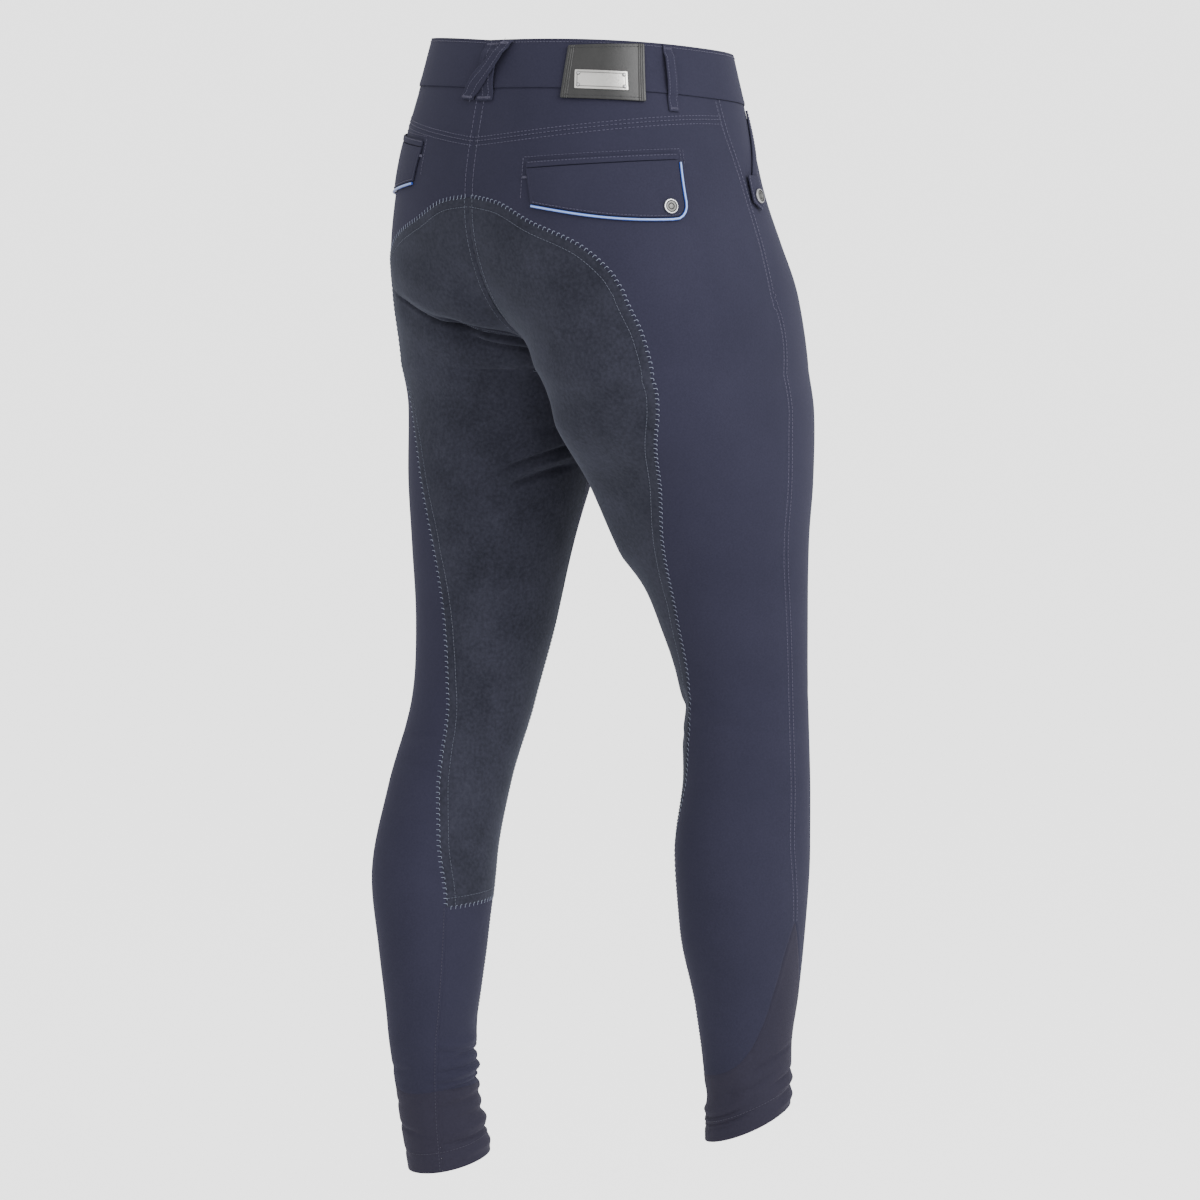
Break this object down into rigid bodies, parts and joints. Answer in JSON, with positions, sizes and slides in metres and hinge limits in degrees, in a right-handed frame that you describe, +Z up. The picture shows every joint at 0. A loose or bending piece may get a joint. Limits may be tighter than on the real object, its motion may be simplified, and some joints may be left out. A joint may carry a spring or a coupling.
{
  "type": "riding breeches",
  "caption": "Men's full-seat riding breeches held in their worn shape, hollow, one leg a step forward, with a belt-loop waistband, flap pockets, suede seat and ankle cuffs.",
  "frame": {"origin": "middle of the waist opening, halfway up the waistband, where the wearer's waist holds the breeches", "axes": "+Z up, -Y towards the wearer's front, +X towards the wearer's left"},
  "size_m": [0.3856, 0.2877, 1.0062],
  "materials": {
    "main_cloth": "navy stretch twill, matt",
    "suede": "dark blue-grey brushed suede with a short nap",
    "cuff_knit": "smooth thin elastic knit, dark blue",
    "piping": "bright blue covered cord with a slight sheen",
    "leather": "smooth black leather, slightly glossy",
    "metal": "polished silver-coloured metal"
  },
  "bodies": {
    "root": {"waistband_left": "main_cloth", "yoke_left": "main_cloth", "front_left": "main_cloth", "back_left": "main_cloth", "inner_calf_left": "main_cloth", "belt_loop_front_left": "main_cloth", "belt_loop_back_left": "main_cloth", "rear_welt_left": "main_cloth", "rear_flap_left": "main_cloth", "front_welt_left": "main_cloth", "front_tab_left": "main_cloth", "seat_suede_left": "suede", "cuff_left": "cuff_knit", "rear_piping_left": "piping", "rear_snap_left": "metal", "front_snap_left": "metal", "waistband_right": "main_cloth", "yoke_right": "main_cloth", "front_right": "main_cloth", "back_right": "main_cloth", "inner_calf_right": "main_cloth", "belt_loop_front_right": "main_cloth", "belt_loop_back_right": "main_cloth", "rear_welt_right": "main_cloth", "rear_flap_right": "main_cloth", "front_welt_right": "main_cloth", "front_tab_right": "main_cloth", "seat_suede_right": "suede", "cuff_right": "cuff_knit", "rear_piping_right": "piping", "rear_snap_right": "metal", "front_snap_right": "metal", "belt_loop_centre": "main_cloth", "belt_loop_crossed": "main_cloth", "fly": "main_cloth", "waistband_tab": "main_cloth", "leather_patch": "leather", "metal_plate": "metal", "waist_button": "metal", "plate_rivet_1": "metal", "plate_rivet_2": "metal", "plate_rivet_3": "metal", "plate_rivet_4": "metal"}
  },
  "joints": []
}
